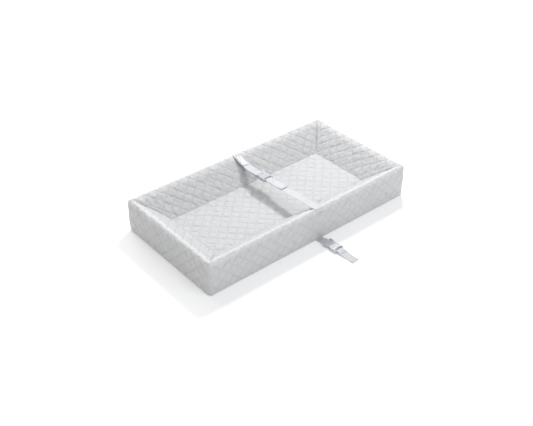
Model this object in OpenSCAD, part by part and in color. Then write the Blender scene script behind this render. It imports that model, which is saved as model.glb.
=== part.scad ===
// Four-sided changing pad: a foam tray in a quilted cover, with a safety belt across the hollow,
// an anchor strap under the front wall and a zip along the back.
// Millimetres. X runs along the pad, Y across it (front is -Y), Z is up.
// The origin is the centre of the underside.

/* [Pad] */
// Length of the pad
pad_len = 800; // [720:10:860]
// Width of the pad
pad_wid = 420; // [400:5:440]
// Height of the raised walls
wall_h = 114; // [108:1:120]
// Height of the sunken floor
floor_h = 48; // [42:1:54]
// Distance from the outer face of a wall to the edge of the sunken floor
wall_inset = 97; // [90:1:104]
// Radius of the soft ridge on top of each wall
ridge_r = 9; // [7:1:11]
// Radius of the upright corners
corner_r = 12; // [8:1:16]

/* [Cover] */
// Thickness of the quilted panels
quilt_t = 3; // [2.6:0.2:3.4]
// Thickness of the non-skid bottom panel
bottom_t = 2; // [2:0.1:2.4]

/* [Zip] */
// Length of the row of teeth
zip_len = 580; // [400:10:620]
// Height of the zip above the table
zip_z = 22; // [20:1:26]
// Height of the window that the zip fills in the back panel
zip_window = 18; // [16:1:20]

/* [Straps] */
// Width of the webbing
web_w = 27; // [24:0.5:27]
// Thickness of the webbing
web_t = 1.3; // [1.1:0.1:1.4]
// Position of the belt along the pad
belt_x = 20; // [-60:5:60]
// Position across the pad where the belt buckle starts
belt_y = 84; // [70:1:90]
// Height of the webbing at the belt buckle
belt_z = 98; // [94:1:100]
// Distance from the belt's buckle bar to the end of its folded tail
belt_tail = 80; // [60:1:100]
// Distance that the loose end of the anchor strap runs beyond its buckle bar
anchor_tail_len = 70; // [60:1:100]

/* [Buckles] */
// Width of a buckle across its shoulders
buckle_w = 36; // [36:0.5:38]
// Height of a buckle
buckle_h = 11; // [11:0.2:12]
// Sideways tilt of a prong for each millimetre that the tongue is drawn out, in degrees
squeeze = 0.42; // [0.38:0.01:0.42]

/* [Hidden] */
$fn = 48;

white_quilt = [0.93, 0.93, 0.94];
white_foam = [0.96, 0.95, 0.90];
white_web = [0.94, 0.94, 0.97];
white_plastic = [0.90, 0.91, 0.94];
grey_base = [0.80, 0.81, 0.83];

// Wall profile: the ridge circle, and the point where the inner slope leaves it
ridge_z = wall_h - ridge_r;
toe_run = wall_inset - ridge_r;
toe_drop = ridge_z - floor_h;
toe_dist = sqrt(toe_run * toe_run + toe_drop * toe_drop);
leave_angle = acos(ridge_r / toe_dist) - atan2(toe_drop, toe_run);
slope_angle = 90 - leave_angle;
foam_top = floor_h - quilt_t;
seam_angle = 135;

// Zip
tape_t = 1;
tape_d = 1;
teeth_h = 1.5;
teeth_gap = 0.1;
teeth_d = 0.4;
teeth_t = 1.8;
slider_len = 13;
slider_h = 9;
slider_plate = 0.9;
slider_front_d = -1.2;
slider_back_d = 2.5;
slider_x = zip_len / 2 + 3;
zip_run = zip_len + 2 * slider_len;
wedge_len = 3;
pin_r = 0.7;
pin_play = 0.08;
pin_d = -3;
pull_len = 24;
pull_w = 6;
pull_t = 1.2;
eye_r = 1.5;
eye_len = 2.8;
lug_t = 1;
lug_len = 4;
lug_gap = 0.3;
lug_cover = 0.4;
neck_len = 7.2;
stop_len = 2.4;

// Belt: its own frame starts at the socket's bar, u runs towards the front wall and w is up
front_ridge_y = -pad_wid / 2 + ridge_r;
belt_tilt = atan2(wall_h + web_t / 2 - belt_z, belt_y - front_ridge_y);
belt_run = (belt_y - front_ridge_y) / cos(belt_tilt);
back_run = pad_wid / 2 - ridge_r - belt_y;
back_rise = wall_h + 1.8 * web_t - belt_z + back_run * tan(belt_tilt);
back_curve = 1.8;
back_split = 54;
front_split = 234;
body_gap = 0.6;
label_w = 21;
label_t = 0.5;

// Anchor strap: its own frame starts at its socket's bar
anchor_turn = 3;
anchor_x = 23.5;
anchor_y = -pad_wid / 2 - 32;
anchor_z = buckle_h / 2 + 0.3;
anchor_root_in = 30;
anchor_root_z = 1.2;
root_end = 2;
hinge_gap = 1.4;
edge_u = (anchor_y + pad_wid / 2) / cos(anchor_turn);
hem_len = 12;

// Buckle, along u from the socket's bar
bar_r = 1.7;
loop_r = bar_r + 0.2;
socket_bar_u = 2.2;
socket_body_u = 6.6;
mouth_u = 36;
collar_len = 5;
tongue_u = mouth_u + 0.3;
tongue_base = 9;
tongue_bar_u = tongue_u + 15.5;
plate_t = 2;
mouth_half = 13;
prong_play = 0.3;
prong_arm = 3.2;
prong_reach = 23;
prong_knuckle = 2;
prong_root_x = 10.6;
prong_pivot_u = tongue_u + 2.6;
prong_h = buckle_h - 2 * plate_t - 0.8;
scallop_r = 14;
scallop_u = 21.5;
scallop_in = 3.8;
socket_lip = 2;
socket_wall = 3;
window_len = 19;
web_play = 0.5;
bar_end = 1;
pin_len = 20;
pin_w = 4.4;
pin_h = 4;
merge_len = 14;
join = 0.2;
cut = 1;
loop_lap = 4;
layer_gap = 0.2;
tail_drop = 45;

// ---- shared shapes ----

// Rounded rectangle of the pad's plan, drawn in from its edge
module plan(inset) {
    l = pad_len / 2 - inset;
    w = pad_wid / 2 - inset;
    r = corner_r - inset;
    square([2 * l - 2 * r, 2 * w], center = true);
    square([2 * l, 2 * w - 2 * r], center = true);
    for (sx = [-1, 1], sy = [-1, 1])
        translate([sx * (l - r), sy * (w - r)])
            circle(r);
}

// Wall profile, drawn in from the cover's surface; x is the distance in from the outer face
module wall_profile(inset) {
    r = ridge_r - inset;
    centre = [ridge_r, ridge_z];
    leave = centre + r * [cos(leave_angle), sin(leave_angle)];
    toe_z = floor_h - inset;
    toe_x = leave[0] + (leave[1] - toe_z) / tan(slope_angle);
    polygon([[inset, 0], [toe_x, 0], [toe_x, toe_z], leave, centre, [inset, ridge_z]]);
    translate(centre)
        circle(r);
}

// Part of the wall profile that the upright side panel covers
module side_zone() {
    far = 2 * wall_h;
    polygon([[-far, 0], [ridge_r, 0], [ridge_r, ridge_z],
             [ridge_r + far * cos(seam_angle), ridge_z + far * sin(seam_angle)], [-far, ridge_z + far]]);
}

// A profile run along one wall and mitred at 45 degrees at both corners
module mitred_run(run, across) {
    intersection() {
        translate([-run / 2, -across / 2, 0])
            rotate([90, 0, 90])
                linear_extrude(run)
                    children();
        linear_extrude(wall_h + 1)
            polygon([[-run / 2, -across / 2], [run / 2, -across / 2],
                     [run / 2 - wall_inset, -across / 2 + wall_inset],
                     [-run / 2 + wall_inset, -across / 2 + wall_inset]]);
    }
}

module foam_wall(run, across, turn) {
    color(white_foam)
        intersection() {
            rotate([0, 0, turn])
                mitred_run(run, across)
                    intersection() {
                        wall_profile(quilt_t);
                        translate([0, foam_top])
                            square([wall_inset, wall_h]);
                    }
            linear_extrude(wall_h)
                plan(quilt_t);
        }
}

// The foam's whole outer form, which the cover is hollowed by
module foam_form(run, across, turn) {
    intersection() {
        rotate([0, 0, turn])
            mitred_run(run, across)
                wall_profile(quilt_t);
        linear_extrude(wall_h)
            plan(quilt_t);
    }
}

module cover_slope(run, across, turn) {
    color(white_quilt)
        difference() {
            intersection() {
                rotate([0, 0, turn])
                    mitred_run(run, across)
                        difference() {
                            wall_profile(0);
                            side_zone();
                            square([wall_inset + 1, foam_top]);
                        }
                linear_extrude(wall_h)
                    plan(0);
            }
            foam_form(run, across, turn);
        }
}

module cover_side(run, across, turn) {
    color(white_quilt)
        difference() {
            intersection() {
                rotate([0, 0, turn])
                    mitred_run(run, across)
                        difference() {
                            intersection() {
                                wall_profile(0);
                                side_zone();
                            }
                            square([ridge_r + 1, bottom_t]);
                        }
                linear_extrude(wall_h)
                    plan(0);
            }
            foam_form(run, across, turn);
        }
}

// ---- foam ----

module foam_base() {
    channel_in = 4.4;
    color(white_foam)
        difference() {
            translate([0, 0, bottom_t])
                linear_extrude(foam_top - bottom_t)
                    plan(quilt_t);
            translate([-zip_len / 2 - slider_len, pad_wid / 2 - channel_in, zip_z - slider_h / 2 - 1])
                cube([zip_len + 2 * slider_len, channel_in, slider_h + 2]);
        }
}
module foam_wall_front() foam_wall(pad_len, pad_wid, 0);
module foam_wall_back() foam_wall(pad_len, pad_wid, 180);
module foam_wall_left() foam_wall(pad_wid, pad_len, -90);
module foam_wall_right() foam_wall(pad_wid, pad_len, 90);

// ---- cover ----

module cover_floor() {
    color(white_quilt)
        translate([0, 0, foam_top + quilt_t / 2])
            cube([pad_len - 2 * wall_inset, pad_wid - 2 * wall_inset, quilt_t], center = true);
}
module cover_slope_front() cover_slope(pad_len, pad_wid, 0);
module cover_slope_back() cover_slope(pad_len, pad_wid, 180);
module cover_slope_left() cover_slope(pad_wid, pad_len, -90);
module cover_slope_right() cover_slope(pad_wid, pad_len, 90);
module cover_side_front() cover_side(pad_len, pad_wid, 0);
module cover_side_left() cover_side(pad_wid, pad_len, -90);
module cover_side_right() cover_side(pad_wid, pad_len, 90);

// The back panel has a window for the zip
module cover_side_back() {
    color(white_quilt)
        difference() {
            cover_side(pad_len, pad_wid, 180);
            translate([-zip_run / 2, pad_wid / 2 - quilt_t - cut, zip_z - zip_window / 2])
                cube([zip_run, quilt_t + 2 * cut, zip_window]);
        }
}

// The bottom panel has a shallow slot where the anchor strap is sewn in
module cover_bottom() {
    slot_play = 0.2;
    color(grey_base)
        difference() {
            linear_extrude(bottom_t)
                plan(0);
            anchor_place()
                translate([-web_w / 2 - slot_play, edge_u - anchor_root_in - slot_play, -anchor_z - 1])
                    cube([web_w + 2 * slot_play, 2 * anchor_root_in, bottom_t + 2]);
        }
}

// ---- zip, on the back face ----

// Puts a zip piece in place: x along the zip, y up it and z outward from the back face
module zip_place() {
    translate([0, pad_wid / 2, zip_z])
        rotate([90, 0, 180])
            children();
}

module zip_tape(up) {
    inner = teeth_gap / 2 + teeth_h;
    tall = zip_window / 2 - inner;
    color(white_web)
        zip_place()
            translate([-zip_run / 2, up > 0 ? inner : -inner - tall, -tape_d - tape_t])
                cube([zip_run, tall, tape_t]);
}
module zip_tape_upper() zip_tape(1);
module zip_tape_lower() zip_tape(-1);

module zip_teeth(up) {
    color(white_plastic)
        zip_place()
            translate([-zip_len / 2, up > 0 ? teeth_gap / 2 : -teeth_gap / 2 - teeth_h, -teeth_d - teeth_t])
                cube([zip_len, teeth_h, teeth_t]);
}
module zip_teeth_upper() zip_teeth(1);
module zip_teeth_lower() zip_teeth(-1);

// One stop at the far end of the teeth, one past the closed slider
module zip_stops() {
    stop_h = 2 * teeth_h + teeth_gap;
    color(white_plastic)
        zip_place()
            for (x = [-zip_len / 2 - stop_len - 0.1, slider_x + slider_len / 2 + 0.3])
                translate([x, -stop_h / 2, -teeth_d - teeth_t])
                    cube([stop_len, stop_h, teeth_t]);
}

// Two plates joined by the wedge that parts the teeth, with lugs and a pin for the pull
module zip_slider() {
    front_top = -slider_front_d;
    flange_h = 0.8;
    wedge_x = slider_x + slider_len / 2 - wedge_len;
    lug_h = -pin_d + pin_r + lug_cover + join - front_top;
    color(white_plastic)
        zip_place() {
            translate([slider_x - slider_len / 2, -slider_h / 2, front_top - slider_plate])
                cube([slider_len, slider_h, slider_plate]);
            translate([slider_x - slider_len / 2, -slider_h / 2, -slider_back_d - slider_plate])
                cube([slider_len, slider_h, slider_plate]);
            for (y = [-slider_h / 2, slider_h / 2 - flange_h])
                translate([slider_x - slider_len / 2, y, -tape_d + 0.3])
                    cube([slider_len, flange_h, front_top + tape_d - 0.3]);
            translate([wedge_x, -1, -slider_back_d - slider_plate])
                cube([wedge_len, 2, slider_back_d + slider_plate + front_top]);
            for (s = [-1, 1])
                translate([slider_x - lug_len / 2, s * (eye_len + lug_t + 2 * lug_gap) / 2 - lug_t / 2,
                           front_top - join])
                    cube([lug_len, lug_t, lug_h]);
            translate([slider_x, 0, -pin_d])
                rotate([90, 0, 0])
                    cylinder(r = pin_r, h = eye_len + 2 * lug_t, center = true);
        }
}

module zip_pull() {
    color(white_plastic)
        zip_place()
            difference() {
                union() {
                    translate([slider_x, 0, -pin_d])
                        rotate([90, 0, 0])
                            cylinder(r = eye_r, h = eye_len, center = true);
                    translate([slider_x - neck_len - pin_r - pin_play, -eye_len / 2, -pin_d - pull_t / 2])
                        cube([neck_len, eye_len, pull_t]);
                    translate([slider_x - pull_len + pull_w / 2, 0, -pin_d - pull_t / 2])
                        linear_extrude(pull_t)
                            union() {
                                circle(pull_w / 2);
                                translate([0, -pull_w / 2])
                                    square([pull_len - pull_w / 2 - 7, pull_w]);
                            }
                }
                translate([slider_x, 0, -pin_d])
                    rotate([90, 0, 0])
                        cylinder(r = pin_r + pin_play, h = eye_len + 1, center = true);
            }
}

// ---- webbing ----

// Puts a piece in the belt's frame
module belt_place() {
    translate([belt_x, belt_y, belt_z])
        rotate([belt_tilt, 0, 180])
            children();
}

// Puts a piece in the anchor strap's frame
module anchor_place() {
    translate([anchor_x, anchor_y, anchor_z])
        rotate([0, 0, 180 + anchor_turn])
            children();
}

// Extrudes a lengthways profile, x along u and y up w, across the strap's width
module across_strap(width) {
    rotate([90, 0, 90])
        linear_extrude(width, center = true)
            children();
}

// A band of even thickness along a row of [u, w] points
module band(points, t) {
    n = len(points);
    polygon([
        for (p = points) [p[0], p[1] - t / 2],
        for (i = [n - 1 : -1 : 0]) [points[i][0], points[i][1] + t / 2],
    ]);
}

// Webbing folded round a bar: both layers run off along x and meet after merge_len
module bar_loop(top_len) {
    difference() {
        circle(loop_r + web_t);
        circle(loop_r);
        translate([join, -10])
            square(20);
    }
    polygon([[0, loop_r], [merge_len, -join], [merge_len, web_t], [0, loop_r + web_t]]);
    polygon([[0, -loop_r - web_t], [merge_len, -web_t], [merge_len, join], [0, -loop_r]]);
    translate([merge_len - 1, -join])
        square([top_len - merge_len + 1, web_t + join]);
}

// Rise of the back half of the belt from the buckle's line to the ridge
function back_w(u) = back_rise * pow(max(0, (-u - merge_len) / (back_run - merge_len)), back_curve);

function back_points(u_from, u_to, steps, lift) = [
    for (i = [0 : steps]) let (u = u_from + (u_to - u_from) * i / steps) [u, back_w(u) - web_t / 2 + lift]
];

// A point of the belt's frame, seen in the profile of the back or the front wall
function at_back_wall(p) = [
    pad_wid / 2 - belt_y + p[0] * cos(belt_tilt) - p[1] * sin(belt_tilt),
    belt_z + p[0] * sin(belt_tilt) + p[1] * cos(belt_tilt),
];
function at_front_wall(p) = [pad_wid - at_back_wall(p)[0], at_back_wall(p)[1]];

function ridge_arc(r, lead_angle) = [
    for (i = [0 : 8]) let (a = seam_angle + (lead_angle - seam_angle) * i / 8)
        [ridge_r + r * cos(a), ridge_z + r * sin(a)]
];

function reversed(list) = [for (i = [len(list) - 1 : -1 : 0]) list[i]];

// Webbing sewn into the ridge's seam, laid over the ridge and then along a free path,
// all in the wall profile
module sewn_strap(lead_angle, path) {
    clear = 0.03;
    polygon(concat(
        ridge_arc(ridge_r + clear, lead_angle),
        [for (p = path) [p[0], p[1] - web_t / 2]],
        reversed([for (p = path) [p[0], p[1] + web_t / 2]]),
        reversed(ridge_arc(ridge_r + web_t, lead_angle))
    ));
}

module belt_end_back() {
    lead_angle = 74;
    path = back_points(-back_run + 6, -back_split - body_gap, 12, 0.15);
    color(white_web)
        translate([belt_x, pad_wid / 2, 0])
            rotate([0, 0, 180])
                across_strap(web_w)
                    sewn_strap(lead_angle, [for (p = path) at_back_wall(p)]);
}

module belt_end_front() {
    color(white_web)
        translate([belt_x, -pad_wid / 2, 0])
            across_strap(web_w)
                sewn_strap(90, [at_front_wall([front_split + body_gap, 0])]);
}

module belt_label() {
    label_from = 60;
    label_to = 104;
    color("white")
        belt_place()
            across_strap(label_w)
                band(back_points(-label_to, -label_from, 12, (web_t + label_t) / 2 + layer_gap), label_t);
}

module belt_webbing_back() {
    color(white_web)
        belt_place()
            across_strap(web_w) {
                translate([socket_bar_u, 0])
                    rotate([0, 0, 180])
                        bar_loop(merge_len + loop_lap);
                band(back_points(-back_split, socket_bar_u - merge_len, 12, 0), web_t);
            }
}

module belt_webbing_front() {
    color(white_web)
        belt_place()
            across_strap(web_w) {
                translate([tongue_bar_u, 0])
                    bar_loop(belt_tail);
                band([[tongue_bar_u + merge_len - 1, -web_t / 2], [belt_run / 2, -web_t / 2],
                      [front_split, 0]], web_t);
            }
}

// Fixed end of the anchor strap, sewn into the slot of the bottom panel
module anchor_root() {
    color(white_web)
        anchor_place()
            across_strap(web_w)
                band([[edge_u - anchor_root_in, anchor_root_z - anchor_z],
                      [edge_u + root_end, anchor_root_z - anchor_z]], web_t);
}

module anchor_webbing() {
    color(white_web)
        anchor_place()
            across_strap(web_w) {
                translate([socket_bar_u, 0])
                    rotate([0, 0, 180])
                        bar_loop(merge_len + 1);
                band([[edge_u + root_end + hinge_gap, anchor_root_z - anchor_z],
                      [socket_bar_u - merge_len + 1, -web_t / 2]], web_t);
            }
}

// Drop of the anchor strap's loose end from its buckle to the table
function tail_w(s) = -web_t / 2 - (anchor_z - web_t - 0.35) * (1 - cos(180 * min(1, s / tail_drop))) / 2;

module anchor_tail() {
    steps = 16;
    run = anchor_tail_len - merge_len;
    color(white_web)
        anchor_place()
            across_strap(web_w)
                translate([tongue_bar_u, 0]) {
                    bar_loop(merge_len + loop_lap);
                    band([for (i = [0 : steps]) let (s = run * i / steps) [merge_len - 1 + s, tail_w(s)]],
                         web_t);
                    translate([anchor_tail_len - 1 - hem_len, tail_w(run) + web_t / 2 - join])
                        square([hem_len, web_t + join]);
                }
}

// ---- buckles, in a strap's frame ----

module buckle_socket() {
    half = buckle_w / 2;
    shoulder_r = 4;
    depth = mouth_u - socket_body_u - socket_wall;
    cavity_h = buckle_h - 2 * plate_t;
    color(white_plastic) {
        difference() {
            translate([0, 0, -buckle_h / 2])
                linear_extrude(buckle_h)
                    difference() {
                        union() {
                            translate([-half + shoulder_r, -socket_lip])
                                square([2 * (half - shoulder_r), mouth_u + socket_lip]);
                            translate([-half, -socket_lip + shoulder_r])
                                square([2 * half, mouth_u + socket_lip - shoulder_r]);
                            for (s = [-1, 1])
                                translate([s * (half - shoulder_r), -socket_lip + shoulder_r])
                                    circle(shoulder_r);
                        }
                        for (s = [-1, 1])
                            translate([s * (half - scallop_in + scallop_r), scallop_u])
                                circle(scallop_r);
                    }
            translate([-web_w / 2 - web_play, -socket_lip - cut, -buckle_h])
                cube([web_w + 2 * web_play, socket_body_u + socket_lip + cut, 2 * buckle_h]);
            translate([-mouth_half, mouth_u - depth, -cavity_h / 2])
                cube([2 * mouth_half, depth + cut, cavity_h]);
            translate([-half - cut, scallop_u - window_len / 2, -cavity_h / 2])
                cube([buckle_w + 2 * cut, window_len, cavity_h]);
        }
        translate([0, socket_bar_u, 0])
            rotate([0, 90, 0])
                cylinder(r = bar_r, h = web_w + 2 * web_play + 2 * bar_end, center = true);
    }
}

// Half-width of a prong at a distance back from the tongue's face. It follows the squeeze, so that
// the prong just clears the collar all the way out.
function prong_half(s) =
    mouth_half - prong_play
    + (s > collar_len ? squeeze * PI / 180 * (s + prong_pivot_u - tongue_u) * (s - collar_len - 0.6) : 0);

module buckle_prong(side) {
    steps = 10;
    hook = 2.5;
    outer = [for (i = [steps : -1 : 0]) let (s = prong_reach * i / steps) [prong_half(s), tongue_u - s]];
    inner = [for (i = [0 : steps]) let (s = (prong_reach - hook) * i / steps)
                 [prong_half(s) - prong_arm, tongue_u - s]];
    knuckle = [prong_root_x, prong_pivot_u];
    color(white_plastic)
        mirror([side < 0 ? 1 : 0, 0, 0])
            translate([0, 0, -prong_h / 2])
                linear_extrude(prong_h)
                    union() {
                        polygon(concat(outer, inner));
                        translate(knuckle)
                            circle(prong_knuckle);
                        polygon([[prong_half(0) - prong_arm, tongue_u - 1], [prong_half(0), tongue_u - 1],
                                 [prong_root_x + 1.2, prong_pivot_u], [prong_root_x - 1.2, prong_pivot_u]]);
                    }
}

module buckle_tongue() {
    half = buckle_w / 2 - 1;
    knuckle_play = 0.3;
    mouth_slot = 6.6;
    color(white_plastic) {
        difference() {
            translate([-half, tongue_u, -buckle_h / 2 + 0.4])
                cube([2 * half, tongue_bar_u - tongue_u + bar_r + 0.4, buckle_h - 0.8]);
            translate([-web_w / 2 - web_play, tongue_u + tongue_base, -buckle_h])
                cube([web_w + 2 * web_play, buckle_w, 2 * buckle_h]);
            for (s = [-1, 1]) {
                translate([s * prong_root_x, prong_pivot_u, 0])
                    cylinder(r = prong_knuckle + knuckle_play, h = prong_h + 0.6, center = true);
                translate([s * (prong_root_x + 0.4), tongue_u, 0])
                    cube([mouth_slot, 2 * (prong_pivot_u - tongue_u), prong_h + 0.6], center = true);
            }
        }
        translate([-pin_w / 2, mouth_u - pin_len, -pin_h / 2])
            cube([pin_w, pin_len + tongue_u - mouth_u + join, pin_h]);
        translate([0, tongue_bar_u, 0])
            rotate([0, 90, 0])
                cylinder(r = bar_r, h = web_w + 2 * web_play + 2 * bar_end, center = true);
    }
}

module belt_socket() belt_place() buckle_socket();
module belt_tongue() belt_place() buckle_tongue();
module belt_prong_left() belt_place() buckle_prong(-1);
module belt_prong_right() belt_place() buckle_prong(1);
module anchor_socket() anchor_place() buckle_socket();
module anchor_tongue() anchor_place() buckle_tongue();
module anchor_prong_left() anchor_place() buckle_prong(-1);
module anchor_prong_right() anchor_place() buckle_prong(1);

foam_base();
foam_wall_front();
foam_wall_back();
foam_wall_left();
foam_wall_right();
cover_floor();
cover_slope_front();
cover_slope_back();
cover_slope_left();
cover_slope_right();
cover_side_front();
cover_side_back();
cover_side_left();
cover_side_right();
cover_bottom();
zip_tape_upper();
zip_tape_lower();
zip_teeth_upper();
zip_teeth_lower();
zip_stops();
zip_slider();
zip_pull();
belt_end_back();
belt_end_front();
belt_label();
belt_webbing_back();
belt_webbing_front();
belt_socket();
belt_tongue();
belt_prong_left();
belt_prong_right();
anchor_root();
anchor_webbing();
anchor_tail();
anchor_socket();
anchor_tongue();
anchor_prong_left();
anchor_prong_right();
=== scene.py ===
"""Looks of the changing pad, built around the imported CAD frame. Metres, +Z up, front is -Y."""
import math

import bmesh
import bpy
import numpy as np
from mathutils import Matrix, Vector


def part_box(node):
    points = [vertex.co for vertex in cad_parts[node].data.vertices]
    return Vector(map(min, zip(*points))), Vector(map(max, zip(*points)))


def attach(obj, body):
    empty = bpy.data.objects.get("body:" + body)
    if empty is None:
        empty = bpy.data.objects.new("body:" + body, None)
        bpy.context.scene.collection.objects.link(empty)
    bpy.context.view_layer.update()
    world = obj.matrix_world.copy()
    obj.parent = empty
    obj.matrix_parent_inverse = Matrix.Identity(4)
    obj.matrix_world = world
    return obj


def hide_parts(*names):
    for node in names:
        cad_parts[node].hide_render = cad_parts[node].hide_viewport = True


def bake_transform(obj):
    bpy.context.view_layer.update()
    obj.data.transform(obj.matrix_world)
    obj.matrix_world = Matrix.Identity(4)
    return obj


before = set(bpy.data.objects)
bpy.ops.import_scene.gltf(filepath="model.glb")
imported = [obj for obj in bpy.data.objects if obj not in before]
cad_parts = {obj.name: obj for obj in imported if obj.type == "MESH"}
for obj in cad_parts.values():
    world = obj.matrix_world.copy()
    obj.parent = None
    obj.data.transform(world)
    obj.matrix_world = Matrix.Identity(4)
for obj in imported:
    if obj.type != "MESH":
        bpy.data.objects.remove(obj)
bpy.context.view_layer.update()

MM = 0.001

# ---- driving dimensions, read from the frame where the frame has them ----

BASE_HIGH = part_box("cover_bottom")[1]
FLOOR_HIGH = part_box("cover_floor")[1]
HALF_LEN = BASE_HIGH[0]
HALF_WID = BASE_HIGH[1]
FLOOR_Z = FLOOR_HIGH[2]
WALL_INSET = HALF_LEN - FLOOR_HIGH[0]
WALL_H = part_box("cover_slope_front")[1][2]
RIDGE_R = 9 * MM
CORNER_R = 12 * MM
SEAM_ANGLE = math.radians(135)

ZIP_Z = 22 * MM
ZIP_WINDOW = (303 * MM, ZIP_Z - 9 * MM, ZIP_Z + 9 * MM)

QUILT_PITCH = 27.8 * MM
PUFF = 1.35 * MM
STITCH_SINK = 0.7 * MM
SEAM_SINK = 0.5 * MM
SEAM_FADE = 6 * MM
SHEET_T = 2.2 * MM
LOWEST_CLOTH = 0.3 * MM

WEB_W = 27 * MM
WEB_T = 1.3 * MM
BELT_X, BELT_Y, BELT_Z = 20 * MM, 84 * MM, 98 * MM
ANCHOR_X, ANCHOR_Y, ANCHOR_Z = 23.5 * MM, -242 * MM, 5.8 * MM
ANCHOR_TURN = math.radians(3)

# ---- camera ----

VIEW_AZIMUTH = math.radians(-40.15)
VIEW_ELEVATION = math.radians(35.6)
VIEW_DISTANCE = 2.725
LENS = 56.8
FRAME_SHIFT = (-0.0066, -0.0028)


def add_camera():
    back = Vector((
        math.sin(VIEW_AZIMUTH) * math.cos(VIEW_ELEVATION),
        -math.cos(VIEW_AZIMUTH) * math.cos(VIEW_ELEVATION),
        math.sin(VIEW_ELEVATION),
    ))
    data = bpy.data.cameras.new("camera")
    data.lens = LENS
    data.sensor_width = 36
    data.shift_x, data.shift_y = FRAME_SHIFT
    camera = bpy.data.objects.new("camera", data)
    bpy.context.collection.objects.link(camera)
    facing = back.to_track_quat("Z", "Y").to_matrix().to_4x4()
    camera.matrix_world = Matrix.Translation(back * VIEW_DISTANCE) @ facing
    bpy.context.scene.camera = camera


add_camera()

# ---- stage and light ----


def add_area_light(name, place, target, size, power):
    data = bpy.data.lights.new(name, "AREA")
    data.shape = "DISK"
    data.size = size
    data.energy = power
    light = bpy.data.objects.new(name, data)
    bpy.context.collection.objects.link(light)
    light.location = place
    light.rotation_euler = (Vector(place) - Vector(target)).to_track_quat("Z", "Y").to_euler()
    return light


STAGE_HALF = 7.0
STAGE_GLOW = 0.18
WORLD_STRENGTH = 0.54


def add_stage():
    half = STAGE_HALF
    mesh = bpy.data.meshes.new("studio_floor")
    corners = [(-half, -half, 0), (half, -half, 0), (half, half, 0), (-half, half, 0)]
    mesh.from_pydata(corners, [], [(0, 1, 2, 3)])
    floor = bpy.data.objects.new("studio_floor", mesh)
    bpy.context.collection.objects.link(floor)
    material = bpy.data.materials.new("studio_floor")
    material.use_nodes = True
    shader = material.node_tree.nodes["Principled BSDF"]
    shader.inputs["Base Color"].default_value = (0.97, 0.97, 0.97, 1)
    shader.inputs["Roughness"].default_value = 0.9
    shader.inputs["Specular IOR Level"].default_value = 0.1
    shader.inputs["Emission Color"].default_value = (1, 1, 1, 1)
    shader.inputs["Emission Strength"].default_value = STAGE_GLOW
    mesh.materials.append(material)

    world = bpy.data.worlds.new("studio")
    world.use_nodes = True
    background = world.node_tree.nodes["Background"]
    background.inputs["Color"].default_value = (1, 1, 1, 1)
    background.inputs["Strength"].default_value = WORLD_STRENGTH
    bpy.context.scene.world = world
    bpy.context.scene.view_settings.view_transform = "Standard"

    add_area_light("key_right", (1.25, 0.94, 2.08), (0, 0, 0.05), 0.5, 42)
    add_area_light("softbox_behind", (0, 2.4, 1.5), (0, 0, 0), 2.4, 27)
    fill = add_area_light("fill_front", (0.2, -2.3, 2.0), (0, 0, 0), 2.0, 20)
    fill.data.color = (0.93, 0.96, 1.0)


add_stage()

# ---- material kit ----


class Graph:
    """A short way to write a node material."""

    def __init__(self, name, color, roughness):
        self.material = bpy.data.materials.new(name)
        self.material.use_nodes = True
        self.tree = self.material.node_tree
        self.shader = self.tree.nodes["Principled BSDF"]
        self.shader.inputs["Base Color"].default_value = (*color, 1)
        self.shader.inputs["Roughness"].default_value = roughness

    def link(self, value, socket):
        if isinstance(value, (int, float, tuple)):
            socket.default_value = value
        else:
            self.tree.links.new(value, socket)

    def math(self, operation, *values, clamp=False):
        node = self.tree.nodes.new("ShaderNodeMath")
        node.operation = operation
        node.use_clamp = clamp
        for value, socket in zip(values, node.inputs):
            self.link(value, socket)
        return node.outputs[0]

    def times(self, *values):
        return self.math("MULTIPLY", *values)

    def plus(self, *values):
        return self.math("ADD", *values)

    def wave(self, value, length):
        return self.math("SINE", self.times(value, 2 * math.pi / length))

    def uv(self):
        node = self.tree.nodes.new("ShaderNodeUVMap")
        node.uv_map = "cloth"
        split = self.tree.nodes.new("ShaderNodeSeparateXYZ")
        self.tree.links.new(node.outputs[0], split.inputs[0])
        return node.outputs[0], split.outputs[0], split.outputs[1]

    def place(self):
        return self.tree.nodes.new("ShaderNodeTexCoord").outputs["Object"]

    def object_height(self):
        split = self.tree.nodes.new("ShaderNodeSeparateXYZ")
        self.tree.links.new(self.place(), split.inputs[0])
        return split.outputs[2]

    def noise(self, vector, scale, detail=3.0, rough=0.55):
        node = self.tree.nodes.new("ShaderNodeTexNoise")
        self.link(vector, node.inputs["Vector"])
        node.inputs["Scale"].default_value = scale
        node.inputs["Detail"].default_value = detail
        node.inputs["Roughness"].default_value = rough
        return node.outputs[0]

    def color_mix(self, factor, first, second):
        node = self.tree.nodes.new("ShaderNodeMix")
        node.data_type = "RGBA"
        self.link(factor, node.inputs["Factor"])
        self.link((*first, 1) if isinstance(first, tuple) else first, node.inputs["A"])
        self.link((*second, 1) if isinstance(second, tuple) else second, node.inputs["B"])
        return node.outputs["Result"]

    def bump(self, height, distance, strength=1.0, below=None):
        node = self.tree.nodes.new("ShaderNodeBump")
        node.inputs["Strength"].default_value = strength
        node.inputs["Distance"].default_value = distance
        self.link(height, node.inputs["Height"])
        if below is not None:
            self.tree.links.new(below, node.inputs["Normal"])
        self.tree.links.new(node.outputs[0], self.shader.inputs["Normal"])
        return node.outputs[0]

    def color(self, socket):
        self.tree.links.new(socket, self.shader.inputs["Base Color"])

    def set(self, **values):
        names = {
            "sheen": "Sheen Weight", "sheen_rough": "Sheen Roughness", "specular": "Specular IOR Level",
            "coat": "Coat Weight", "coat_rough": "Coat Roughness", "subsurface": "Subsurface Weight",
        }
        for key, value in values.items():
            self.shader.inputs[names[key]].default_value = value


# ---- cloth panels of the cover ----


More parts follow.
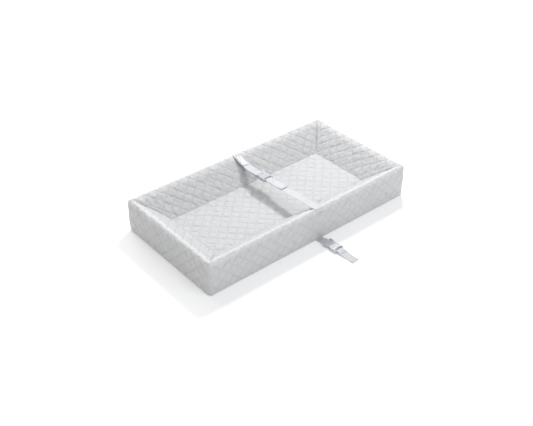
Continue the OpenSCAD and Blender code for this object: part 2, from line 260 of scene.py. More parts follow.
def smooth(x):
    x = np.clip(x, 0, 1)
    return x * x * (3 - 2 * x)


def cell_random(i, j, salt):
    """An even spread of values from 0 to 1, one for each whole-number cell."""
    value = np.sin(i * 127.1 + j * 311.7 + salt * 74.7) * 43758.5453
    return value - np.floor(value)


def wobble(s, t, size, salt):
    """A smooth wave field of about unit height whose waves are about one size long."""
    k = 2 * math.pi / size
    turns = [0.3, 1.45, 2.6, 3.9, 5.1]
    field = 0
    for n, turn in enumerate(turns):
        turn = turn + salt
        along = s * math.cos(turn) + t * math.sin(turn)
        field = field + np.sin(k * (1 + 0.23 * n) * along + 1.7 * n + salt)
    return field / len(turns) * 1.6


# Grid lines across one diamond, as fractions of the pitch, and the rows of cloth along a panel's edges
CELL_STEPS = np.array([0.0, 0.035, 0.09, 0.18, 0.33, 0.5, 0.67, 0.82, 0.91, 0.965])
EDGE_ROWS = (1.2 * MM, 3.4 * MM)
ROOT_HALF = math.sqrt(0.5)


def quilt_lines(low, high):
    """Grid positions along one diagonal, closest together beside the stitch lines."""
    first = math.floor(low / QUILT_PITCH)
    last = math.ceil(high / QUILT_PITCH)
    cells = [(n + CELL_STEPS) * QUILT_PITCH for n in range(first, last)]
    return np.concatenate(cells + [[last * QUILT_PITCH]])


def cut_panel(bm, point, outward, **options):
    geometry = bm.verts[:] + bm.edges[:] + bm.faces[:]
    bmesh.ops.bisect_plane(bm, geom=geometry, plane_co=point, plane_no=outward, dist=1e-7, **options)


def flat_panel(end_low, end_high, height, window=None):
    """A flat quilted panel: its half-length is end_low at t = 0 and end_high at t = height. The grid runs
    along the two diagonals of the quilting and is trimmed to the panel's outline."""
    reach = max(end_low, end_high)
    lines = quilt_lines(-reach * ROOT_HALF, (reach + height) * ROOT_HALF)
    grid_a, grid_b = np.meshgrid(lines, lines, indexing="ij")
    s = (grid_a - grid_b) * ROOT_HALF
    t = (grid_a + grid_b) * ROOT_HALF
    margin = QUILT_PITCH / 4
    near = (np.abs(s) < reach + margin) & (t > -margin) & (t < height + margin)
    use = near[:-1, :-1] & near[1:, :-1] & near[1:, 1:] & near[:-1, 1:]
    i, j = np.nonzero(use)
    width = len(lines)
    corner = i * width + j
    quads = np.stack([corner, corner + width, corner + width + 1, corner + 1], axis=1)
    used, faces = np.unique(quads, return_inverse=True)
    points = np.stack([s.ravel()[used], t.ravel()[used], np.zeros(len(used))], axis=1)
    mesh = bpy.data.meshes.new("panel")
    mesh.from_pydata(points.tolist(), [], faces.reshape(-1, 4).tolist())
    bm = bmesh.new()
    bm.from_mesh(mesh)
    bpy.data.meshes.remove(mesh)
    slant = Vector((height, end_low - end_high, 0)).normalized()
    edges = [
        (Vector((0, 0, 0)), Vector((0, -1, 0))),
        (Vector((0, height, 0)), Vector((0, 1, 0))),
        (Vector((end_low, 0, 0)), slant),
        (Vector((-end_low, 0, 0)), Vector((-slant.x, slant.y, 0))),
    ]
    for point, outward in edges:
        cut_panel(bm, point, outward, clear_outer=True)
    for inset in EDGE_ROWS:
        for point, outward in edges:
            cut_panel(bm, point - outward * inset, outward)
    if window:
        half, low, high = window
        for point, outward in (((half, 0, 0), (1, 0, 0)), ((-half, 0, 0), (1, 0, 0)),
                               ((0, low, 0), (0, 1, 0)), ((0, high, 0), (0, 1, 0))):
            cut_panel(bm, point, outward)
        inside = [face for face in bm.faces
                  if abs(face.calc_center_median().x) < half and low < face.calc_center_median().y < high]
        bmesh.ops.delete(bm, geom=inside, context="FACES")
    return bm


def quilt_height(s, t, edge, ridge, salt):
    """Height of the quilted surface over the CAD skin: flat puffs between narrow stitched creases.
    edge is the distance to the nearest seam, and ridge that to the seam along the ridge."""
    a = (s + t) * ROOT_HALF / QUILT_PITCH
    b = (t - s) * ROOT_HALF / QUILT_PITCH
    line_a = np.abs(a - np.round(a)) * QUILT_PITCH
    line_b = np.abs(b - np.round(b)) * QUILT_PITCH
    crease = 2.8 * MM
    lift = np.sqrt((1 - np.exp(-(line_a / crease) ** 1.2)) * (1 - np.exp(-(line_b / crease) ** 1.2)))
    cell = 0.82 + 0.36 * cell_random(np.floor(a), np.floor(b), salt)
    line = np.minimum(line_a, line_b)
    pucker = 0.22 * MM * np.exp(-((line / (4.5 * MM)) ** 2)) * wobble(s, t, 5.5 * MM, salt + 0.4)
    patch = np.clip(0.35 + wobble(s, t, 70 * MM, salt + 4), 0, 1)
    rib = 0.17 * MM * patch * lift * np.cos(6 * math.pi * a + 0.6 * wobble(s, t, 60 * MM, salt))
    ripple = 0.25 * MM * wobble(s, t, 21 * MM, salt) + 0.5 * MM * wobble(s, t, 90 * MM, salt + 2)
    fade = smooth(edge / SEAM_FADE)
    sunk = SEAM_SINK * (1 - smooth(ridge / SEAM_FADE)) ** 2
    return (PUFF * lift * cell + pucker + rib - STITCH_SINK + ripple) * fade - sunk


def finish_panel(bm, name, place, end_low, end_high, height, salt, ridge_at=None, window=None):
    """Maps the flat panel into the pad with place(s, t) and lifts its quilting. ridge_at is the t of the
    ridge's seam, where the cloth is drawn down. Returns the piece and its stitched-down points."""
    bm.verts.ensure_lookup_table()
    flat = np.array([v.co[:2] for v in bm.verts])
    s, t = flat[:, 0], flat[:, 1]
    end = end_low + (end_high - end_low) * t / height
    edge = np.minimum(np.minimum(t, height - t), end - np.abs(s))
    if window:
        half, low, high = window
        beyond = np.maximum(np.maximum(low - t, t - high), 0)
        edge = np.minimum(edge, np.hypot(np.maximum(np.abs(s) - half, 0), beyond))
    ridge = np.full_like(t, 1.0) if ridge_at is None else np.abs(t - ridge_at)
    points, normals, extra = place(s, t, end)
    lift = quilt_height(s, t, edge, ridge, salt) + extra * smooth(edge / SEAM_FADE)
    lift = press_under_straps(points, lift)
    lifted = points + normals * lift[:, None]
    lifted[:, 2] = np.maximum(lifted[:, 2], LOWEST_CLOTH)
    for vert, co in zip(bm.verts, lifted):
        vert.co = co
    layer = bm.loops.layers.uv.new("cloth")
    for face in bm.faces:
        face.smooth = True
        for loop in face.loops:
            loop[layer].uv = flat[loop.vert.index]
    mesh = bpy.data.meshes.new(name)
    bm.to_mesh(mesh)
    bm.free()
    mesh.update()
    piece = bpy.data.objects.new(name, mesh)
    bpy.context.collection.objects.link(piece)
    normal_up = sum((Vector(p.normal) * p.area for p in mesh.polygons[:400]), Vector())
    if normal_up.dot(Vector(normals[:400].mean(axis=0))) < 0:
        mesh.flip_normals()
    root = ROOT_HALF / QUILT_PITCH
    a, b = (s + t) * root, (t - s) * root
    near_line = np.minimum(np.abs(a - np.round(a)), np.abs(b - np.round(b))) < 1e-4
    return piece, np.nonzero(near_line | (edge < 0.1 * MM))[0]


def press_under_straps(points, lift):
    """The quilting lies flat where the belt runs over the front and back ridges."""
    beside = np.abs(points[:, 0] - BELT_X) - WEB_W / 2
    along = np.abs(np.abs(points[:, 1]) - (HALF_WID - RIDGE_R)) - 13 * MM
    away = np.maximum(np.maximum(beside, along), 0)
    high = np.where(points[:, 2] > RIDGE_Z - 6 * MM, 1.0, 0.0)
    press = (1 - smooth(away / (9 * MM))) * high
    return lift * (1 - press) - 0.5 * MM * press


SIM_FRAMES = 14
SIM_CAP = 1.3 * MM


def settle_cloth(panels):
    """Blows the cover out between its stitched lines with a cloth simulation, so that it puckers."""
    scene = bpy.context.scene
    scene.frame_start = 1
    scene.frame_end = SIM_FRAMES
    for piece, pins in panels:
        group = piece.vertex_groups.new(name="stitched")
        group.add(pins.tolist(), 1.0, "REPLACE")
        cloth = piece.modifiers.new("cloth", "CLOTH")
        cloth.point_cache.frame_start = 1
        cloth.point_cache.frame_end = SIM_FRAMES
        settings = cloth.settings
        settings.vertex_group_mass = "stitched"
        settings.quality = 4
        settings.mass = 0.15
        settings.tension_stiffness = 12
        settings.compression_stiffness = 12
        settings.shear_stiffness = 4
        settings.bending_stiffness = 0.02
        settings.use_pressure = True
        settings.uniform_pressure_force = 3
        settings.shrink_min = -0.022
        settings.effector_weights.gravity = 0
    for number in range(1, SIM_FRAMES + 1):
        scene.frame_set(number)
    graph = bpy.context.evaluated_depsgraph_get()
    for piece, pins in panels:
        before = np.empty(len(piece.data.vertices) * 3)
        after = before.copy()
        piece.data.vertices.foreach_get("co", before)
        settled = piece.evaluated_get(graph)
        settled.data.vertices.foreach_get("co", after)
        move = (after - before).reshape(-1, 3)
        size = np.linalg.norm(move, axis=1)
        move *= np.minimum(1, SIM_CAP / np.maximum(size, 1e-9))[:, None]
        piece.modifiers.clear()
        piece.vertex_groups.clear()
        settled_points = before.reshape(-1, 3) + move
        settled_points[:, 2] = np.maximum(settled_points[:, 2], LOWEST_CLOTH)
        piece.data.vertices.foreach_set("co", settled_points.ravel())
        piece.data.update()
    scene.frame_set(1)


# The wall profile: depth in from the outer face, and height
RIDGE_Z = WALL_H - RIDGE_R
TOE_RUN = WALL_INSET - RIDGE_R
TOE_DROP = RIDGE_Z - FLOOR_Z
TOE_DISTANCE = math.hypot(TOE_RUN, TOE_DROP)
LEAVE_ANGLE = math.acos(RIDGE_R / TOE_DISTANCE) - math.atan2(TOE_DROP, TOE_RUN)
SLOPE_LENGTH = math.sqrt(TOE_DISTANCE ** 2 - RIDGE_R ** 2)
ARC_LENGTH = RIDGE_R * (SEAM_ANGLE - LEAVE_ANGLE)


def slope_profile(t):
    """Depth, height and outward normal at distance t from the ridge's seam down to the sunken floor."""
    angle = SEAM_ANGLE - np.minimum(t, ARC_LENGTH) / RIDGE_R
    run = np.maximum(t - ARC_LENGTH, 0)
    depth = RIDGE_R + RIDGE_R * np.cos(angle) + run * math.sin(LEAVE_ANGLE)
    z = RIDGE_Z + RIDGE_R * np.sin(angle) - run * math.cos(LEAVE_ANGLE)
    return depth, z, np.cos(angle), np.sin(angle)


SIDE_RISE = RIDGE_Z
SIDE_LENGTH = SIDE_RISE + RIDGE_R * (math.pi - SEAM_ANGLE)
HEM_R = 4 * MM


def side_profile(t):
    """The same from the bottom hem up the outer face to the ridge's seam."""
    angle = math.pi - np.maximum(t - SIDE_RISE, 0) / RIDGE_R
    curl = np.clip(1 - t / HEM_R, 0, 1)
    depth = RIDGE_R + RIDGE_R * np.cos(angle) + 0.55 * HEM_R * curl ** 2
    z = np.minimum(t, SIDE_RISE) + RIDGE_R * np.sin(angle)
    normal_z = np.sin(angle) - 0.7 * curl
    normal_depth = np.cos(angle)
    size = np.hypot(normal_depth, normal_z)
    return depth, z, normal_depth / size, normal_z / size


def row_end(depth, half_run):
    """Half-length of a row of cloth at a depth, round the half of the corner that it covers."""
    radius = np.maximum(CORNER_R - depth, 0)
    return half_run - np.maximum(depth, CORNER_R) + radius * math.pi / 4


def end_at(profile, t, half_run):
    return row_end(profile(np.array([t]))[0], half_run)[0]


# Half the run along the wall, half the distance to the opposite wall, and the turn from the front
WALLS = {
    "front": (HALF_LEN, HALF_WID, 0),
    "back": (HALF_LEN, HALF_WID, 180),
    "left": (HALF_WID, HALF_LEN, -90),
    "right": (HALF_WID, HALF_LEN, 90),
}


def wall_place(wall, profile, bulge):
    """Returns place(s, t, end), which wraps a flat wall panel round the profile and the corners."""
    half_run, across, turn = WALLS[wall]
    turned = np.array(Matrix.Rotation(math.radians(turn), 3, "Z"))

    def place(s, t, end):
        depth, z, normal_depth, normal_z = profile(t)
        s = s * row_end(depth, half_run) / end
        radius = np.maximum(CORNER_R - depth, 0)
        straight = half_run - np.maximum(depth, CORNER_R)
        past = np.maximum(np.abs(s) - straight, 0)
        angle = np.where(radius > 1e-6, past / np.maximum(radius, 1e-6), 0)
        sign = np.sign(s)
        x = sign * (np.minimum(np.abs(s), straight) + radius * np.sin(angle))
        inward = np.where(depth < CORNER_R, CORNER_R - radius * np.cos(angle), depth)
        points = np.stack([x, inward - across, z], axis=1)
        outward = -sign * np.sin(angle) * normal_depth
        normals = np.stack([outward, np.cos(angle) * normal_depth, normal_z], axis=1)
        return points @ turned.T, normals @ turned.T, bulge(s, t, end)

    return place


def slope_bulge(salt):
    def bulge(s, t, end):
        corner = np.exp(-(((end - np.abs(s)) / (60 * MM)) ** 2))
        folds = 0.9 * MM * corner * wobble(s, t * 0.4, 30 * MM, salt)
        crown = 1.6 * MM * np.sin(math.pi * np.clip(t / (ARC_LENGTH + SLOPE_LENGTH), 0, 1))
        return folds + crown

    return bulge


def side_bulge(salt):
    def bulge(s, t, end):
        belly = 1.8 * MM * np.sin(math.pi * np.clip(t / SIDE_LENGTH, 0, 1))
        return belly + 0.9 * MM * wobble(s, t * 1.3, 130 * MM, salt)

    return bulge


def floor_place(s, t, end):
    points = np.stack([s, t - (HALF_WID - WALL_INSET), np.full_like(s, FLOOR_Z)], axis=1)
    normals = np.tile([0.0, 0.0, 1.0], (len(s), 1))
    return points, normals, 1.2 * MM * wobble(s, t, 260 * MM, 1.0)


def make_cover(fabric):
    """The nine quilted panels over the foam: the floor, four slopes and four sides."""
    panels = {}
    width = 2 * (HALF_WID - WALL_INSET)
    half = HALF_LEN - WALL_INSET
    bm = flat_panel(half, half, width)
    panels["cover_floor"] = finish_panel(bm, "quilted_floor", floor_place, half, half, width, 1)
    slope_len = ARC_LENGTH + SLOPE_LENGTH
    for salt, (wall, (half_run, _, _)) in enumerate(WALLS.items()):
        top = end_at(slope_profile, 0.0, half_run)
        toe = end_at(slope_profile, slope_len, half_run)
        bm = flat_panel(top, toe, slope_len)
        place = wall_place(wall, slope_profile, slope_bulge(salt + 2))
        panels["cover_slope_" + wall] = finish_panel(
            bm, "quilted_slope_" + wall, place, top, toe, slope_len, salt + 2, ridge_at=0)
        low = end_at(side_profile, 0.0, half_run)
        high = end_at(side_profile, SIDE_LENGTH, half_run)
        window = ZIP_WINDOW if wall == "back" else None
        bm = flat_panel(low, high, SIDE_LENGTH, window)
        place = wall_place(wall, side_profile, side_bulge(salt + 6))
        panels["cover_side_" + wall] = finish_panel(
            bm, "quilted_side_" + wall, place, low, high, SIDE_LENGTH, salt + 6,
            ridge_at=SIDE_LENGTH, window=window)
    settle_cloth(list(panels.values()))
    for node, (piece, _) in panels.items():
        thickness = piece.modifiers.new("thickness", "SOLIDIFY")
        thickness.thickness = SHEET_T
        thickness.offset = -1
        piece.data.materials.append(fabric)
        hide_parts(node)
        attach(piece, "pad")


# Height of the painted highlight: the top band of the walls gets a paler fabric colour
RIDGE_HIGHLIGHT_BAND = 12 * MM


def quilt_fabric():
    """White quilted fabric: a fine weave, dashed stitching, painted shade greying the creases and a painted
    highlight band on the ridges.
    """
    g = Graph("quilted_fabric", (0.80, 0.80, 0.81), 0.62)
    g.set(sheen=0.25, sheen_rough=0.45, specular=0.35)
    uv, u, v = g.uv()
    a = g.times(g.plus(u, v), ROOT_HALF)
    b = g.times(g.math("SUBTRACT", v, u), ROOT_HALF)
    threads = []
    # Painted shade: masks that grow towards each quilting line, used to darken the colour where the creases
    # fall in shade
    creases = []
    for across, along in ((a, b), (b, a)):
        distance = g.math("PINGPONG", across, QUILT_PITCH / 2)
        dash = g.math("GREATER_THAN", g.math("PINGPONG", along, 1.5 * MM), 0.35 * MM)
        threads.append(g.times(g.math("LESS_THAN", distance, 0.42 * MM), dash))
        creases.append(g.math("SUBTRACT", 1.0, g.math("DIVIDE", distance, 1.4 * MM), clamp=True))
    thread = g.math("MAXIMUM", *threads)
    crease = g.math("MAXIMUM", *creases)
    weave = g.times(g.wave(u, 0.9 * MM), g.wave(v, 0.9 * MM))
    slub = g.noise(uv, 420, 4)
    tone = g.noise(uv, 9, 3)
    base = g.color_mix(tone, (0.562, 0.565, 0.577), (0.594, 0.593, 0.592))
    # Painted highlight: the fabric turns paler over the top band of the walls, standing in for the brighter
    # light on the ridges.
    height = g.object_height()
    ridge = g.math("DIVIDE", g.math("SUBTRACT", height, WALL_H - RIDGE_HIGHLIGHT_BAND), RIDGE_HIGHLIGHT_BAND / 2, clamp=True)
    base = g.color_mix(ridge, base, (0.70, 0.70, 0.705))
    # Painted shade: the colour greys towards the quilting lines, standing in for the shade in the creases.
    grey = g.color_mix(g.times(crease, 0.36), base, (0.33, 0.33, 0.345))
    g.color(g.color_mix(g.times(thread, 0.4), grey, (0.68, 0.68, 0.69)))
    relief = g.plus(g.times(weave, 0.35), g.times(slub, 0.7))
    g.bump(g.plus(relief, g.times(thread, 1.5)), 0.12 * MM, 0.6)
    return g.material


CORNER_WELT_R = 0.8 * MM


def make_corner_welts(fabric):
    """A narrow piped seam up each corner and over its ridge."""
    rise = [(0.0, z) for z in np.linspace(4 * MM, RIDGE_Z, 20)]
    over = [(RIDGE_R - RIDGE_R * math.cos(a), RIDGE_Z + RIDGE_R * math.sin(a))
            for a in np.linspace(0.1, 2.1, 12)]
    for sx in (-1, 1):
        for sy in (-1, 1):
            curve = bpy.data.curves.new("corner_welt", "CURVE")
            curve.dimensions = "3D"
            curve.bevel_depth = CORNER_WELT_R
            curve.bevel_resolution = 2
            spline = curve.splines.new("POLY")
            path = rise + over
            spline.points.add(len(path) - 1)
            for k, (depth, z) in enumerate(path):
                radius = max(CORNER_R - depth, 0)
                inward = max(CORNER_R, depth) - radius * ROOT_HALF
                wander = 0.25 * MM * math.sin(k * 0.9 + sx + 2 * sy)
                spline.points[k].co = (sx * (HALF_LEN - inward + wander), sy * (HALF_WID - inward), z, 1)
            shape = bpy.data.objects.new("corner_welt_shape", curve)
            bpy.context.collection.objects.link(shape)
            graph = bpy.context.evaluated_depsgraph_get()
            mesh = bpy.data.meshes.new_from_object(shape.evaluated_get(graph))
            bpy.data.objects.remove(shape)
            name = "corner_welt_" + ("front" if sy < 0 else "back") + ("_left" if sx < 0 else "_right")
            welt = bpy.data.objects.new(name, mesh)
            bpy.context.collection.objects.link(welt)
            mesh.materials.clear()
            mesh.materials.append(fabric)
            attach(welt, "pad")


def welt_fabric():
    g = Graph("welt_tape", (0.72, 0.72, 0.73), 0.55)
    g.set(sheen=0.3, sheen_rough=0.4)
    weave = g.noise(g.place(), 1300, 3)
    g.color(g.color_mix(weave, (0.60, 0.60, 0.61), (0.70, 0.70, 0.71)))
    g.bump(weave, 0.12 * MM, 0.6)
    return g.material


make_corner_welts(welt_fabric())
quilt = quilt_fabric()
make_cover(quilt)

# ---- webbing ----

BELT_TILT = math.radians(3.3435)
BACK_RUN = HALF_WID - RIDGE_R - BELT_Y
BACK_RISE = WALL_H + 1.8 * WEB_T - BELT_Z + BACK_RUN * math.tan(BELT_TILT)
LAYER_AIR = 0.06 * MM
SOCKET_BAR_U = 2.2 * MM
TONGUE_BAR_U = 51.8 * MM
MERGE = 14 * MM
LOOP_R = 2.6 * MM
FRONT_SPLIT = 234 * MM

ANCHOR_PLACE = (Matrix.Translation((ANCHOR_X, ANCHOR_Y, ANCHOR_Z))
                @ Matrix.Rotation(math.radians(183), 4, "Z"))
BELT_PLACE = (Matrix.Translation((BELT_X, BELT_Y, BELT_Z)) @ Matrix.Rotation(math.pi, 4, "Z")
              @ Matrix.Rotation(BELT_TILT, 4, "X"))


def belt_point(u, w):
    """A point of the belt's own plane, as (y, z) of the pad."""
    point = BELT_PLACE @ Vector((0, u, w))
    return point.y, point.z


def arc_points(centre, radius, start, stop, steps=10):
    """Points on an arc, angles in degrees."""
    turns = [math.radians(start + (stop - start) * i / steps) for i in range(steps + 1)]
    return [(centre[0] + radius * math.cos(a), centre[1] + radius * math.sin(a)) for a in turns]


def ridge_turn(side, start, tuck=2.4 * MM):
    """(y, z) points over the front (-1) or back (1) ridge and down into its seam."""
    radius = RIDGE_R + WEB_T / 2 + LAYER_AIR
    centre = (side * (HALF_WID - RIDGE_R), RIDGE_Z)
    seam = math.degrees(SEAM_ANGLE)
    points = arc_points((0, 0), radius, start, seam, 8)
    points += arc_points((0, 0), radius - tuck, seam, seam + 4, 1)
    return [(centre[0] - side * x, centre[1] + y) for x, y in points]


def resample(path, step):
    path = np.array(path)
    runs = np.hypot(*np.diff(path, axis=0).T)
    along = np.concatenate([[0], np.cumsum(runs)])
    count = max(2, int(round(along[-1] / step)) + 1)
    places = np.linspace(0, along[-1], count)
    spread = [np.interp(places, along, path[:, side]) for side in (0, 1)]
    return np.stack(spread, axis=1), places


def soften(path, rounds):
    path = path.copy()
    for _ in range(rounds):
        path[1:-1] = path[1:-1] * 0.5 + (path[:-2] + path[2:]) * 0.25
    return path


def new_mesh(name, points, faces, material, uvs=None, smooth=True):
    mesh = bpy.data.meshes.new(name)
    mesh.from_pydata([tuple(p) for p in points], [], faces)
    if uvs is not None:
        layer = mesh.uv_layers.new(name="cloth")
        index = np.empty(len(mesh.loops), dtype=np.int32)
        mesh.loops.foreach_get("vertex_index", index)
        layer.data.foreach_set("uv", np.asarray(uvs)[index].ravel())
    for polygon in mesh.polygons:
        polygon.use_smooth = smooth
    mesh.materials.append(material)
    piece = bpy.data.objects.new(name, mesh)
    bpy.context.collection.objects.link(piece)
    return piece


def ring_faces(base, count, levels):
    """Quads between rings of count points that follow each other from point number base."""
    faces = []
    for level in range(levels):
        for k in range(count):
            a, b = base + level * count + k, base + level * count + (k + 1) % count
            faces.append((a, b, b + count, a + count))
    return faces


def face_outward(piece):
    bm = bmesh.new()
    bm.from_mesh(piece.data)
    bmesh.ops.recalc_face_normals(bm, faces=bm.faces)
    bm.to_mesh(piece.data)
    bm.free()


RIB_PITCH = 2.25 * MM
RIB_RELIEF = 0.16 * MM


def webbing(name, place, path, width, material, thickness=WEB_T, step=1.5 * MM, soft=3, limp=0.12 * MM):
    """A woven strap of one thickness along (u, w) points: rounded selvedges, fine lengthways ribs."""
    path, along = resample(path, step)
    path = soften(path, soft)
    tangent = np.gradient(path, axis=0)
    tangent /= np.maximum(np.hypot(*tangent.T), 1e-9)[:, None]
    normal = np.stack([-tangent[:, 1], tangent[:, 0]], axis=1)
    ribs = int(round(width / RIB_PITCH)) * 4
    flat = np.linspace(-width / 2 + thickness / 2, width / 2 - thickness / 2, ribs + 1)
    relief = RIB_RELIEF * np.cos(np.arange(ribs + 1) * math.pi / 2)
    round_edge = [(math.cos(a), math.sin(a)) for a in np.radians([60, 30, 0, -30, -60])]
    section = [(x, thickness / 2 - RIB_RELIEF + r) for x, r in zip(flat, relief)]
    section += [(width / 2 - thickness / 2 + c * thickness / 2, s * thickness / 2) for c, s in round_edge]
    section += [(x, -thickness / 2 + RIB_RELIEF - r) for x, r in zip(flat[::-1], relief)]
    section += [(-width / 2 + thickness / 2 - c * thickness / 2, -s * thickness / 2) for c, s in round_edge]
    ring = len(section)
    points = []
    uvs = []
    girth = np.cumsum([0] + [math.dist(section[i], section[i + 1]) for i in range(ring - 1)])
    for (u, w), (nu, nw), run in zip(path, normal, along):
        for k, (x, n) in enumerate(section):
            wave = limp * math.sin(run / (11 * MM) + x / (9 * MM)) * math.sin(run / (29 * MM) + 1.3)
            points.append(place @ Vector((x, u + nu * (n + wave), w + nw * (n + wave))))
            uvs.append((girth[k], run))
    faces = ring_faces(0, ring, len(path) - 1)
    last = (len(path) - 1) * ring
    faces.append(tuple(range(ring)))
    faces.append(tuple(last + k for k in reversed(range(ring))))
    piece = new_mesh(name, points, faces, material, uvs)
    face_outward(piece)
    return piece


def stitch_row(points, pitch, length, radius):
    """Separate thread stitches along a row of 3-D points, as (points, faces)."""
    points = [Vector(p) for p in points]
    out_points, out_faces = [], []
    for a, b in zip(points[:-1], points[1:]):
        run = (b - a).length
        count = max(1, int(run / pitch))
        way = (b - a).normalized()
        side = way.orthogonal().normalized()
        other = way.cross(side)
        for i in range(count):
            middle = a + way * (run * (i + 0.5) / count)
            base = len(out_points)
            for end, size in ((-0.5, 0.35), (-0.32, 1.0), (0.32, 1.0), (0.5, 0.35)):
                for k in range(6):
                    turn = math.radians(60 * k)
                    offset = side * math.cos(turn) + other * math.sin(turn)
                    out_points.append(middle + way * length * end + offset * radius * size)
            out_faces += ring_faces(base, 6, 3)
            out_faces.append(tuple(base + k for k in reversed(range(6))))
            out_faces.append(tuple(base + 18 + k for k in range(6)))
    return out_points, out_faces


def stitches(name, rows, material, pitch=3.0 * MM, length=2.2 * MM, radius=0.28 * MM):
    points, faces = [], []
    for row in rows:
        row_points, row_faces = stitch_row(row, pitch, length, radius)
        base = len(points)
        points += row_points
        faces += [tuple(i + base for i in face) for face in row_faces]
    return new_mesh(name, points, faces, material)


def box_rows(place, u_from, u_to, half, height):
    """A box with a cross in it, sewn through a strap at height(u) over its own plane."""
    def at(x, u):
        return place @ Vector((x, u, height(u)))

    corners = [at(-half, u_from), at(half, u_from), at(half, u_to), at(-half, u_to)]
    return [corners + [corners[0]], [corners[0], corners[2]], [corners[1], corners[3]]]


def bar_loop(bar_u, way):
    """(u, w) points from the top layer round a buckle bar to the layer below; the bend bulges along way."""
    return [(bar_u + way * x, y) for x, y in arc_points((0, 0), LOOP_R, 90, -90, 12)]


def web_fabric():
    """Bright white polypropylene webbing: lengthways ribs crossed by fine picks."""
    g = Graph("belt_webbing", (0.80, 0.81, 0.84), 0.45)
    g.set(sheen=0.15, sheen_rough=0.4, specular=0.45)
    uv, u, v = g.uv()
    rib = g.wave(u, RIB_PITCH)
    zigzag = g.times(g.math("PINGPONG", u, RIB_PITCH / 2), 0.9)
    lean = g.plus(v, zigzag)
    pick = g.wave(lean, 1.1 * MM)
    fuzz = g.noise(uv, 900, 3)
    base = g.color_mix(g.noise(uv, 60, 2), (0.61, 0.62, 0.65), (0.67, 0.675, 0.70))
    groove = g.times(g.math("SUBTRACT", 1.0, g.math("ABSOLUTE", pick)), 0.22)
    g.color(g.color_mix(groove, base, (0.55, 0.56, 0.60)))
    height = g.plus(g.times(pick, 0.6), g.times(rib, 0.4))
    g.bump(g.plus(height, g.times(fuzz, 0.5)), 0.16 * MM, 0.7)
    return g.material


def thread_fabric():
    g = Graph("sewing_thread", (0.84, 0.84, 0.86), 0.5)
    g.set(sheen=0.2)
    twist = g.noise(g.place(), 2400, 2)
    g.color(g.color_mix(twist, (0.60, 0.60, 0.63), (0.70, 0.70, 0.72)))
    g.bump(twist, 0.1 * MM, 0.5)
    return g.material


def plastic(name, color, grain):
    """Moulded plastic with a fine satin grain and slightly dulled high spots."""
    g = Graph(name, color, 0.34)
    g.set(specular=0.5, coat=0.08, coat_rough=0.3)
    place = g.place()
    fine = g.noise(place, grain, 2)
    cloud = g.noise(place, 60, 3)
    darker = tuple(c * 0.93 for c in color)
    g.color(g.color_mix(cloud, darker, color))
    g.tree.links.new(g.plus(g.times(cloud, 0.18), 0.26), g.shader.inputs["Roughness"])
    g.bump(fine, 0.05 * MM, 0.45)
    return g.material


web = web_fabric()
thread = thread_fabric()
buckle_plastic = plastic("buckle_plastic", (0.58, 0.59, 0.62), 2600)
zip_plastic = plastic("zip_plastic", (0.56, 0.57, 0.60), 2600)


def label_fabric():
    """Satin care label printed with plain grey bars."""
    g = Graph("label_satin", (0.84, 0.84, 0.86), 0.3)
    g.set(sheen=0.3, specular=0.5)
    uv, u, v = g.uv()
    bar = g.math("LESS_THAN", g.math("PINGPONG", g.math("SUBTRACT", u, 4.0 * MM), 3.0 * MM), 2.3 * MM)
    gap = g.math("GREATER_THAN", g.math("PINGPONG", v, 6.5 * MM), 1.2 * MM)
    inside = g.times(g.math("GREATER_THAN", u, 2.8 * MM), g.math("LESS_THAN", u, 17.5 * MM))
    ends = g.times(g.math("GREATER_THAN", v, 6.0 * MM), g.math("LESS_THAN", v, 38.0 * MM))
    ink = g.times(g.times(bar, gap), g.times(inside, ends))
    satin = g.noise(uv, 500, 2)
    base = g.color_mix(satin, (0.60, 0.60, 0.62), (0.66, 0.66, 0.68))
    g.color(g.color_mix(g.times(ink, 0.9), base, (0.10, 0.105, 0.12)))
    g.bump(g.wave(v, 0.5 * MM), 0.05 * MM, 0.5)
    return g.material


def back_w(u):
    rise = max(0.0, (-u - MERGE) / (BACK_RUN - MERGE))
    return BACK_RISE * rise ** 1.8


LABEL_W = 21 * MM
LABEL_T = 0.5 * MM
SEWN_HALF = 10.5 * MM


def belt_line(points):
    return [belt_point(u, w) for u, w in points]


